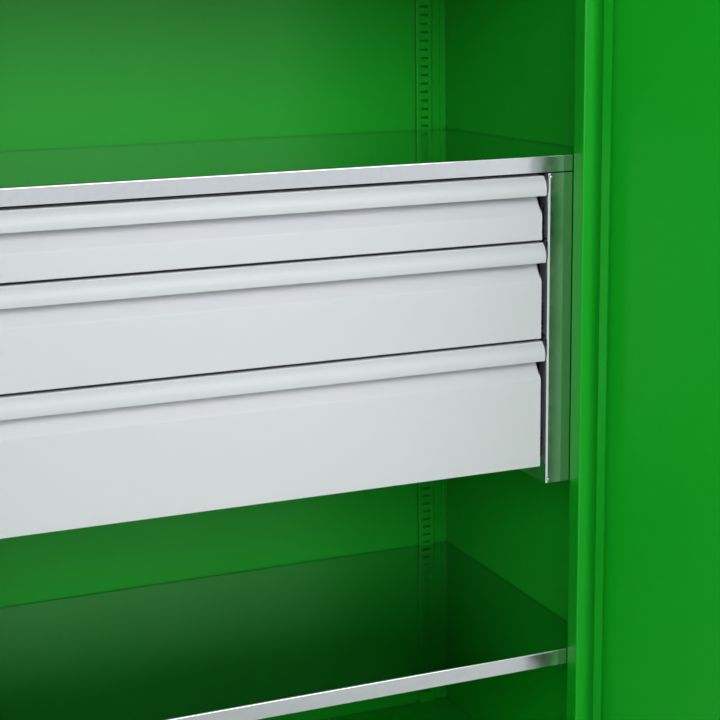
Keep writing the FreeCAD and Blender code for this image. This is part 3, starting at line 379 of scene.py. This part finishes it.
def moulded(name, code, roughness, grain_mm):
    """Moulded plastic or rubber: dark, with the fine spark grain of its mould."""
    material, tree, shader, place = new_material(name)
    grain = add(tree, "ShaderNodeTexNoise", {"Vector": place}, Scale=per_metre(grain_mm), Detail=4.0)
    colour = linear(code)
    tree.links.new(
        shade(tree, grain.outputs["Fac"], [c * 0.85 for c in colour], [c * 1.15 for c in colour]),
        shader.inputs["Base Color"],
    )
    tree.links.new(
        between(tree, grain.outputs["Fac"], roughness - 0.04, roughness + 0.06),
        shader.inputs["Roughness"],
    )
    bump = add(tree, "ShaderNodeBump", {"Height": grain.outputs["Fac"]}, Strength=0.25, Distance=0.05 * MM)
    tree.links.new(bump.outputs["Normal"], shader.inputs["Normal"])
    return material


def finish_named(name):
    """The cupboard's finishes, each made once."""
    known = bpy.data.materials.get(name)
    if known:
        return known
    paint, steel = settings().paint, settings().steel
    if name == "green polyester powder coat":
        return powder_coat(
            name, tuple(paint.body), paint.body_gloss, paint.peel, paint.body_sheen, paint.seam
        )
    if name == "light grey polyester powder coat":
        return powder_coat(
            name, tuple(paint.drawer), paint.drawer_gloss, paint.peel, paint.drawer_sheen, paint.seam
        )
    if name == "galvanised sheet steel":
        return galvanised(name, tuple(steel.zinc), steel.sheet_gloss, steel.spangle)
    if name == "bright zinc plated steel":
        return zinc_plated(name, tuple(steel.plated))
    if name == "black polyamide":
        return moulded(name, "#1B1C1E", 0.45, 0.8)
    return moulded(name, "#141414", 0.7, 1.2)


def dress(names, finish):
    """Give CAD nodes a finish."""
    material = finish_named(finish)
    for name in names:
        node = NODES[name]
        if not node.material_slots:
            node.data.materials.append(material)
        for place in node.material_slots:
            place.material = material


def new_object(name, mesh):
    made = bpy.data.objects.new(name, mesh)
    bpy.context.scene.collection.objects.link(made)
    return made


def from_bmesh(name, shape, finish):
    mesh = bpy.data.meshes.new(name)
    shape.to_mesh(mesh)
    shape.free()
    mesh.materials.append(finish_named(finish))
    return new_object(name, mesh)


def arc(centre, start, end, radius, steps):
    """Points of a circle from the direction start to the direction end."""
    return [centre + start.slerp(end, step / steps) * radius for step in range(steps + 1)]


def rounded(corners, radii, steps=10):
    """A closed outline whose listed corners are rounded."""
    made = []
    for i, corner in enumerate(corners):
        radius = radii.get(i)
        if not radius:
            made.append(corner)
            continue
        back = (corners[i - 1] - corner).normalized()
        ahead = (corners[(i + 1) % len(corners)] - corner).normalized()
        half = back.angle(ahead) / 2
        centre = corner + (back + ahead).normalized() * radius / math.sin(half)
        start = corner + back * radius / math.tan(half) - centre
        end = corner + ahead * radius / math.tan(half) - centre
        made += arc(centre, start, end, radius, steps)
    return made


def belly(start, end, radius, steps=20):
    """Points of an arc from start to end that stands out on the side of negative Y."""
    chord = end - start
    across = Vector((-chord.y, chord.x)).normalized()
    if across.x > 0:
        across = -across
    depth = math.sqrt(radius ** 2 - (chord.length / 2) ** 2)
    centre = (start + end) / 2 - across * depth
    return arc(centre, start - centre, end - centre, radius, steps)


def sweep(shape, outline, low, high):
    """Add a bar to a shape: its section in Y and Z is drawn along X from low to high."""
    ends = [[shape.verts.new((across, point.x, point.y)) for point in outline] for across in (low, high)]
    count = len(outline)
    for i in range(count):
        following = (i + 1) % count
        shape.faces.new((ends[0][i], ends[0][following], ends[1][following], ends[1][i]))
    faces = [shape.faces.new(loop) for loop in ends]
    bmesh.ops.triangulate(shape, faces=faces)


def pill(shape, start, along, out, length, radius, depth, soft, steps=16):
    """Add a bar with half-round ends that stands on a plane, with softened edges at both faces."""
    up = along.cross(out)
    quarter = [math.radians(90) * step / 5 for step in range(6)]
    layers = [(soft * (1 - math.sin(turn)), soft * (1 - math.cos(turn))) for turn in quarter]
    layers += [(inset, depth - height) for inset, height in reversed(layers)]
    rings = []
    for inset, height in layers:
        ring = []
        for centre, first in ((start + along * length, -90), (start, 90)):
            for step in range(steps + 1):
                turn = math.radians(first + 180 * step / steps)
                spoke = along * math.cos(turn) + up * math.sin(turn)
                ring.append(shape.verts.new(centre + spoke * (radius - inset) + out * height))
        rings.append(ring)
    count = len(rings[0])
    for low, high in zip(rings, rings[1:]):
        for i in range(count):
            following = (i + 1) % count
            shape.faces.new((low[i], low[following], high[following], high[i]))
    faces = [shape.faces.new(ring) for ring in (rings[0], rings[-1])]
    bmesh.ops.triangulate(shape, faces=faces)


def smooth_piece(name, shape, finish, body, node):
    """A shape with smooth curves and sharp folds that stands for a CAD node."""
    bmesh.ops.recalc_face_normals(shape, faces=shape.faces)
    made = from_bmesh(name, shape, finish)
    made.data.shade_smooth()
    made.data.set_sharp_from_angle(angle=math.radians(FOLD_ANGLE))
    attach(made, body)
    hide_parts(node)
    return made


def bead_tree():
    """Geometry nodes that set round beads at an even pitch along every edge of a mesh."""
    known = bpy.data.node_groups.get("beads along lines")
    if known:
        return known
    tree = bpy.data.node_groups.new("beads along lines", "GeometryNodeTree")
    for name, kind in (
        ("Geometry", "NodeSocketGeometry"),
        ("Pitch", "NodeSocketFloat"),
        ("Diameter", "NodeSocketFloat"),
        ("Height", "NodeSocketFloat"),
        ("Facing", "NodeSocketRotation"),
        ("Finish", "NodeSocketMaterial"),
    ):
        tree.interface.new_socket(name, in_out="INPUT", socket_type=kind)
    tree.interface.new_socket("Geometry", in_out="OUTPUT", socket_type="NodeSocketGeometry")
    entry = tree.nodes.new("NodeGroupInput").outputs
    lines = add(tree, "GeometryNodeMeshToCurve", {"Mesh": entry["Geometry"]})
    points = add(
        tree, "GeometryNodeCurveToPoints", {"Curve": lines.outputs[0], "Length": entry["Pitch"]},
        mode="LENGTH"
    )
    bead = add(tree, "GeometryNodeMeshUVSphere", Segments=12, Rings=6, Radius=0.5)
    size = add(
        tree, "ShaderNodeCombineXYZ", {"X": entry["Diameter"], "Y": entry["Diameter"], "Z": entry["Height"]}
    )
    smooth = add(tree, "GeometryNodeSetShadeSmooth", {"Geometry": bead.outputs["Mesh"]})
    placed = add(
        tree,
        "GeometryNodeInstanceOnPoints",
        {
            "Points": points.outputs["Points"],
            "Instance": smooth.outputs[0],
            "Scale": size.outputs[0],
            "Rotation": entry["Facing"],
        },
    )
    real = add(tree, "GeometryNodeRealizeInstances", {"Geometry": placed.outputs[0]})
    done = add(tree, "GeometryNodeSetMaterial", {"Geometry": real.outputs[0], "Material": entry["Finish"]})
    output = tree.nodes.new("NodeGroupOutput")
    tree.links.new(done.outputs[0], output.inputs[0])
    return tree


def beads(name, lines, finish, body, slot, **values):
    """Beads along straight lines, made a plain mesh that rides on a body."""
    mesh = bpy.data.meshes.new(f"{name} lines")
    points = [end for line in lines for end in line]
    mesh.from_pydata(points, [(i, i + 1) for i in range(0, len(points), 2)], [])
    guide = new_object(f"{name}_lines", mesh)
    modifier = guide.modifiers.new("beads", "NODES")
    tree = bead_tree()
    modifier.node_group = tree
    material = finish_named(finish)
    values["Finish"] = material
    for socket in tree.interface.items_tree:
        if socket.in_out == "INPUT" and socket.name in values:
            modifier[socket.identifier] = values[socket.name]
    seen = guide.evaluated_get(bpy.context.evaluated_depsgraph_get())
    made = new_object(name, bpy.data.meshes.new_from_object(seen))
    guide.modifiers.clear()
    bpy.data.objects.remove(guide)
    made.data.materials.clear()
    made.data.materials.append(material)
    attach(made, body)
    return made


class CUPBOARD_OT_coat_body(bpy.types.Operator):
    """Coat the body and the doors with green powder"""

    bl_idname = "cupboard.coat_body"
    bl_label = "Coat body and doors"

    def execute(self, context):
        dress(GREEN_NODES, "green polyester powder coat")
        return {"FINISHED"}


class CUPBOARD_OT_coat_tubs(bpy.types.Operator):
    """Coat the drawers' tubs with light grey powder"""

    bl_idname = "cupboard.coat_tubs"
    bl_label = "Coat drawer tubs"

    def execute(self, context):
        dress([f"drawer_tub_{level}" for level in LEVELS], DRAWER_COAT)
        return {"FINISHED"}


class CUPBOARD_OT_fold_fronts(bpy.types.Operator):
    """Fold each drawer's front: flat face, slope into the finger recess, upright part behind the strip"""

    bl_idname = "cupboard.fold_fronts"
    bl_label = "Fold drawer fronts"

    def execute(self, context):
        fold = settings().fold
        for level in LEVELS:
            low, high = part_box(f"drawer_front_{level}")
            strip_low, strip_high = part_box(f"drawer_handle_{level}")
            face, inner, back = low.y, strip_high.y, high.y
            recess = strip_low.z - fold.past
            crease = recess - fold.slope
            mitre = fold.sheet / 4
            corners = [Vector(pair) for pair in (
                (face, low.z),
                (back, low.z),
                (back, low.z + fold.sheet),
                (face + fold.sheet, low.z + fold.sheet),
                (face + fold.sheet, crease - mitre),
                (inner + fold.sheet, recess - mitre),
                (inner + fold.sheet, high.z - fold.sheet),
                (back, high.z - fold.sheet),
                (back, high.z),
                (inner, high.z),
                (inner, recess),
                (face, crease),
            )]
            radii = {0: fold.hem, 4: fold.crease - fold.sheet, 5: fold.crease + fold.sheet,
                     9: fold.sheet, 10: fold.crease, 11: fold.crease}
            shape = bmesh.new()
            sweep(shape, rounded(corners, radii), low.x, high.x)
            inset = fold.sheet / 2
            end = [Vector(pair) for pair in (
                (face + inset, low.z + inset),
                (back, low.z + inset),
                (back, high.z - inset),
                (inner + inset, high.z - inset),
                (inner + inset, recess),
                (face + inset, crease),
            )]
            hair = 0.05 * MM
            for near, far in ((low.x + hair, low.x + fold.sheet), (high.x - fold.sheet, high.x - hair)):
                sweep(shape, rounded(end, {4: fold.crease, 5: fold.crease}), near, far)
            smooth_piece(
                f"folded_front_{level}", shape, DRAWER_COAT, f"drawer_{level}",
                f"drawer_front_{level}",
            )
        return {"FINISHED"}


class CUPBOARD_OT_bend_strips(bpy.types.Operator):
    """Bend the curved handle strips that overhang the finger recesses"""

    bl_idname = "cupboard.bend_strips"
    bl_label = "Bend handle strips"

    def execute(self, context):
        fold = settings().fold
        for level in LEVELS:
            low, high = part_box(f"drawer_handle_{level}")
            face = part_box(f"drawer_front_{level}")[0].y
            top, bottom, back = high.z, low.z, high.y
            outer = belly(
                Vector((face - fold.brow, top - fold.edge)), Vector((face - fold.chin, bottom)),
                fold.belly,
            )
            inner = belly(
                Vector((face - fold.chin + fold.wall, bottom)),
                Vector((face - fold.brow + fold.edge, top - fold.wall)),
                fold.belly - fold.wall,
            )
            centre = Vector((face - fold.brow + fold.edge, top - fold.edge))
            corner = arc(centre, Vector((0, 1)), Vector((-1, 0)), fold.edge, 6)[:-1]
            leg = [Vector(pair) for pair in (
                (back - fold.wall, top - fold.wall),
                (back - fold.wall, top - fold.leg),
                (back, top - fold.leg),
                (back, top),
            )]
            shape = bmesh.new()
            sweep(shape, outer + inner + leg + corner, low.x, high.x)
            smooth_piece(
                f"curved_strip_{level}", shape, DRAWER_COAT, f"drawer_{level}",
                f"drawer_handle_{level}"
            )
        return {"FINISHED"}


class CUPBOARD_OT_finish_sheet(bpy.types.Operator):
    """Give shelves, brackets and clips their galvanised sheet"""

    bl_idname = "cupboard.finish_sheet"
    bl_label = "Galvanise shelves and brackets"

    def execute(self, context):
        dress(SHELF_NODES + BRACKET_NODES, "galvanised sheet steel")
        return {"FINISHED"}


class CUPBOARD_OT_plate_fittings(bpy.types.Operator):
    """Plate slides, hinges, rods and lock parts, and blacken the plastic and rubber ones"""

    bl_idname = "cupboard.plate_fittings"
    bl_label = "Plate fittings"

    def execute(self, context):
        slides = tuple(f"slide_{part}_{level}" for part in ("fixed", "middle", "drawer") for level in LEVELS)
        dress(PLATED_NODES + slides, "bright zinc plated steel")
        dress(("handle_plate", "rod_guides"), "black polyamide")
        dress(("door_buffers",), "black rubber")
        return {"FINISHED"}


class CUPBOARD_OT_mould_lever(bpy.types.Operator):
    """Mould the lever: a round hub, a soft-edged grip that points to the hinges, and its spindle"""

    bl_idname = "cupboard.mould_lever"
    bl_label = "Mould lever"

    def execute(self, context):
        fitting = settings().fitting
        joint = next(item for item in frame["record"]["behaviour"]["joints"] if item["name"] == "lever_turn")
        centre, out = Vector(joint["pos_m"]), Vector(joint["axis"]).normalized()
        along = Vector((-out.y, out.x, 0))
        offsets = [vertex.co - centre for vertex in NODES["door_lever"].data.vertices]
        face = max(offset.dot(out) for offset in offsets)
        inner = min(offset.dot(out) for offset in offsets)
        reach = max(offset.dot(along) for offset in offsets) - fitting.lever / 2
        hub_foot = face - fitting.lever_stand
        shape = bmesh.new()
        flat = 0.3 * MM
        still = 0.01 * MM
        pill(
            shape, centre + out * inner, along, out, still, fitting.spindle,
            hub_foot - inner + fitting.soft, flat,
        )
        pill(shape, centre + out * hub_foot, along, out, still, fitting.hub, fitting.lever_stand, 2 * flat)
        foot = centre + out * (face - fitting.lever_thick)
        pill(shape, foot, along, out, reach, fitting.lever / 2, fitting.lever_thick, fitting.soft)
        smooth_piece("moulded_lever", shape, "black polyamide", "lever", "door_lever")
        return {"FINISHED"}


class CUPBOARD_OT_add_rivets(bpy.types.Operator):
    """Set a small rivet at both ends of each drawer bracket's front rim"""

    bl_idname = "cupboard.add_rivets"
    bl_label = "Add rivets"

    def execute(self, context):
        fitting = settings().fitting
        from_end, behind, proud = 7 * MM, 0.4 * MM, 1.4 * MM
        lines = []
        for word, side in zip(("left", "right"), SIDES):
            low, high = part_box(f"drawer_bracket_{word}")
            across = side * (min(abs(low.x), abs(high.x)) + fitting.rivet / 2)
            lines.append(
                ((across, low.y + behind, low.z + from_end), (across, low.y + behind, high.z - from_end))
            )
        # A hair shorter than the line, so that rounding leaves a rivet at both ends
        pitch = (lines[0][1][2] - lines[0][0][2]) * 0.9999
        beads(
            "bracket_rivets", lines, "bright zinc plated steel", "cabinet", "galvanised_steel",
            Pitch=pitch, Diameter=fitting.rivet, Height=proud, Facing=(math.radians(90), 0, 0),
        )
        return {"FINISHED"}


class CUPBOARD_OT_add_balls(bpy.types.Operator):
    """Set the balls of the slides in their tracks"""

    bl_idname = "cupboard.add_balls"
    bl_label = "Add slide balls"

    def execute(self, context):
        fitting = settings().fitting
        for level in LEVELS:
            low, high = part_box(f"slide_middle_{level}")
            outer_low, outer_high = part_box(f"slide_fixed_{level}")
            inset, ball_line, flange = 12 * MM, 2.4 * MM, 1.5 * MM
            lines = []
            for side in SIDES:
                across = side * (high.x - ball_line)
                for top in (True, False):
                    inner = high.z if top else low.z
                    outer = outer_high.z - flange if top else outer_low.z + flange
                    height = (inner + outer) / 2
                    lines.append(((across, low.y + inset, height), (across, high.y - inset, height)))
            beads(
                f"slide_balls_{level}", lines, "bright zinc plated steel", f"slide_{level}",
                "zinc_plated_steel",
                Pitch=fitting.ball_pitch, Diameter=fitting.ball, Height=fitting.ball,
            )
        return {"FINISHED"}


class CUPBOARD_OT_add_welds(bpy.types.Operator):
    """Press the faint marks of the spot welds along the body's seams"""

    bl_idname = "cupboard.add_welds"
    bl_label = "Add weld marks"

    def execute(self, context):
        fitting = settings().fitting
        low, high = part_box("back_panel")
        edge, proud = 12 * MM, 0.5 * MM
        lines = []
        for side in SIDES:
            across = side * (high.x - edge)
            lines.append(((across, high.y, low.z + 2 * edge), (across, high.y, high.z - 2 * edge)))
        for height in (low.z + edge, high.z - edge):
            lines.append(((low.x + 3 * edge, high.y, height), (high.x - 3 * edge, high.y, height)))
        beads(
            "weld_marks_back", lines, "green polyester powder coat", "cabinet", "green_paint",
            Pitch=fitting.weld_pitch, Diameter=fitting.weld, Height=proud, Facing=(math.radians(90), 0, 0),
        )
        lines = []
        for word, side in zip(("left", "right"), SIDES):
            low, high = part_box(f"side_panel_{word}")
            across = side * max(abs(low.x), abs(high.x))
            lines.append(
                ((across, high.y - edge, low.z + 2 * edge), (across, high.y - edge, high.z - 2 * edge))
            )
        beads(
            "weld_marks_sides", lines, "green polyester powder coat", "cabinet", "green_paint",
            Pitch=fitting.weld_pitch, Diameter=fitting.weld, Height=proud, Facing=(0, math.radians(90), 0),
        )
        return {"FINISHED"}


class CUPBOARD_OT_set_stage(bpy.types.Operator):
    """Set the floor, the soft lamps, the room's light and the camera"""

    bl_idname = "cupboard.set_stage"
    bl_label = "Set stage"

    def execute(self, context):
        stage = settings().stage
        scene = context.scene
        scene.view_settings.view_transform = "Standard"
        material, tree, shader, place = new_material("pale studio floor")
        cloud = add(tree, "ShaderNodeTexNoise", {"Vector": place}, Scale=1.5, Detail=2.0)
        floor_colour = tuple(stage.floor)
        tone = shade(tree, cloud.outputs["Fac"], [c * 0.985 for c in floor_colour], floor_colour)
        tree.links.new(tone, shader.inputs["Base Color"])
        shader.inputs["Roughness"].default_value = 0.6
        self.fade(tree, shader, place)
        mesh = bpy.data.meshes.new("floor")
        reach, clear = 30, 0.5 * MM
        mesh.from_pydata(
            [(-reach, -reach, 0), (reach, -reach, 0), (reach, reach, 0), (-reach, reach, 0)], [],
            [(0, 1, 2, 3)],
        )
        mesh.materials.append(material)
        floor = new_object("floor", mesh)
        floor.location.z = -clear
        world = bpy.data.worlds.new("soft room")
        scene.world = world
        world.use_nodes = True
        tree = world.node_tree
        tree.nodes.clear()
        shown = self.seen_or_mirrored(tree)
        light = add(tree, "ShaderNodeBackground", Color=(1, 1, 1, 1), Strength=stage.room)
        backdrop = add(tree, "ShaderNodeBackground", Color=(1, 1, 1, 1), Strength=1.0)
        mix = add(
            tree,
            "ShaderNodeMixShader",
            {0: shown, 1: light.outputs[0], 2: backdrop.outputs[0]},
        )
        add(tree, "ShaderNodeOutputWorld", {"Surface": mix.outputs[0]})
        self.lamp("front softbox", (0, -3.9, 2.5), (4.4, 1.7), stage.front)
        self.lamp("left softbox", (-2.2, -3.4, 2.8), (3.0, 3.0), stage.left)
        self.lamp("right softbox", (3.0, -2.6, 1.6), (2.2, 2.2), stage.right)
        self.lamp("side softbox", (3.8, 1.4, 2.4), (2.4, 2.4), stage.round)
        self.lamp("rear softbox", (-2.6, 3.4, 2.6), (2.4, 2.4), stage.round)
        self.camera(stage)
        return {"FINISHED"}

    def seen_or_mirrored(self, tree):
        """One where the camera looks, straight or by mirrors and glass, and nothing where only light falls."""
        seen = add(tree, "ShaderNodeLightPath").outputs
        mirrored = add(
            tree, "ShaderNodeMath", {0: seen["Is Glossy Ray"], 1: seen["Is Transmission Ray"]},
            operation="MAXIMUM"
        )
        shown = add(
            tree, "ShaderNodeMath", {0: seen["Is Camera Ray"], 1: mirrored.outputs[0]},
            operation="MAXIMUM",
        )
        unscattered = add(tree, "ShaderNodeMath", {0: seen["Diffuse Depth"]}, operation="LESS_THAN")
        unscattered.inputs[1].default_value = 0.5
        return add(
            tree, "ShaderNodeMath", {0: shown.outputs[0], 1: unscattered.outputs[0]}, operation="MULTIPLY"
        ).outputs[0]

    def fade(self, tree, shader, place):
        """The floor pales into the white backdrop with its distance from the cupboard."""
        away = add(tree, "ShaderNodeVectorMath", {0: place}, operation="LENGTH")
        far = add(
            tree, "ShaderNodeMapRange", {"Value": away.outputs["Value"]}, interpolation_type="SMOOTHSTEP",
            From_Min=settings().stage.fade_start, From_Max=settings().stage.fade_end,
        )
        amount = add(
            tree, "ShaderNodeMath", {0: far.outputs["Result"], 1: self.seen_or_mirrored(tree)},
            operation="MULTIPLY"
        )
        white = add(tree, "ShaderNodeEmission", Color=(1, 1, 1, 1), Strength=1.0)
        both = add(
            tree, "ShaderNodeMixShader", {0: amount.outputs[0], 1: shader.outputs[0], 2: white.outputs[0]}
        )
        output = next(node for node in tree.nodes if node.type == "OUTPUT_MATERIAL")
        tree.links.new(both.outputs[0], output.inputs["Surface"])

    def lamp(self, name, place, size, power):
        """A softbox that faces the middle of the cupboard."""
        data = bpy.data.lights.new(name, "AREA")
        data.shape = "RECTANGLE"
        data.size, data.size_y = size
        data.energy = power
        made = bpy.data.objects.new(name, data)
        bpy.context.scene.collection.objects.link(made)
        made.location = place
        made.rotation_euler = (Vector(LAMP_AIM) - made.location).to_track_quat("-Z", "Y").to_euler()

    def camera(self, stage):
        """The camera stands to the left of the middle and looks right and a little down."""
        turn, dip, roll = (math.radians(v) for v in (stage.turn, stage.dip, stage.roll))
        ahead = Vector((math.sin(turn) * math.cos(dip), math.cos(turn) * math.cos(dip), -math.sin(dip)))
        right = Vector((math.cos(turn), -math.sin(turn), 0))
        up = right.cross(ahead)
        leaning = right * math.cos(roll) + up * math.sin(roll)
        upright = up * math.cos(roll) - right * math.sin(roll)
        data = bpy.data.cameras.new("camera")
        data.sensor_width = 36
        data.lens = stage.lens
        data.shift_x, data.shift_y = stage.shift
        data.clip_end = 100
        made = bpy.data.objects.new("camera", data)
        bpy.context.scene.collection.objects.link(made)
        turned = Matrix((leaning, upright, -ahead)).transposed().to_4x4()
        made.matrix_world = Matrix.Translation(Vector(stage.place)) @ turned
        bpy.context.scene.camera = made


STEPS = (
    CUPBOARD_OT_coat_body,
    CUPBOARD_OT_coat_tubs,
    CUPBOARD_OT_fold_fronts,
    CUPBOARD_OT_bend_strips,
    CUPBOARD_OT_finish_sheet,
    CUPBOARD_OT_plate_fittings,
    CUPBOARD_OT_mould_lever,
    CUPBOARD_OT_add_rivets,
    CUPBOARD_OT_add_balls,
    CUPBOARD_OT_add_welds,
    CUPBOARD_OT_set_stage,
)


class CUPBOARD_PT_steps(bpy.types.Panel):
    """The cupboard's steps, in order"""

    bl_idname = "CUPBOARD_PT_steps"
    bl_label = "Workshop cupboard"
    bl_space_type = "VIEW_3D"
    bl_region_type = "UI"
    bl_category = "Cupboard"

    def draw(self, context):
        for group in ("paint", "fold", "steel", "fitting", "stage"):
            box = self.layout.box()
            values = getattr(context.scene.cupboard, group)
            for name in values.__annotations__:
                box.prop(values, name)
        for step in STEPS:
            self.layout.operator(step.bl_idname)


GROUPS = (PaintSettings, FoldSettings, SteelSettings, FittingSettings, StageSettings, CupboardSettings)
CLASSES = (*GROUPS, *STEPS, CUPBOARD_PT_steps)


def register():
    for item in CLASSES:
        bpy.utils.register_class(item)
    bpy.types.Scene.cupboard = PointerProperty(
        type=CupboardSettings, name="Cupboard", description="The cupboard's settings"
    )


def unregister():
    del bpy.types.Scene.cupboard
    for item in reversed(CLASSES):
        bpy.utils.unregister_class(item)


def main():
    register()
    for step in STEPS:
        group, name = step.bl_idname.split(".")
        getattr(getattr(bpy.ops, group), name)()


if __name__ == "__main__":
    main()
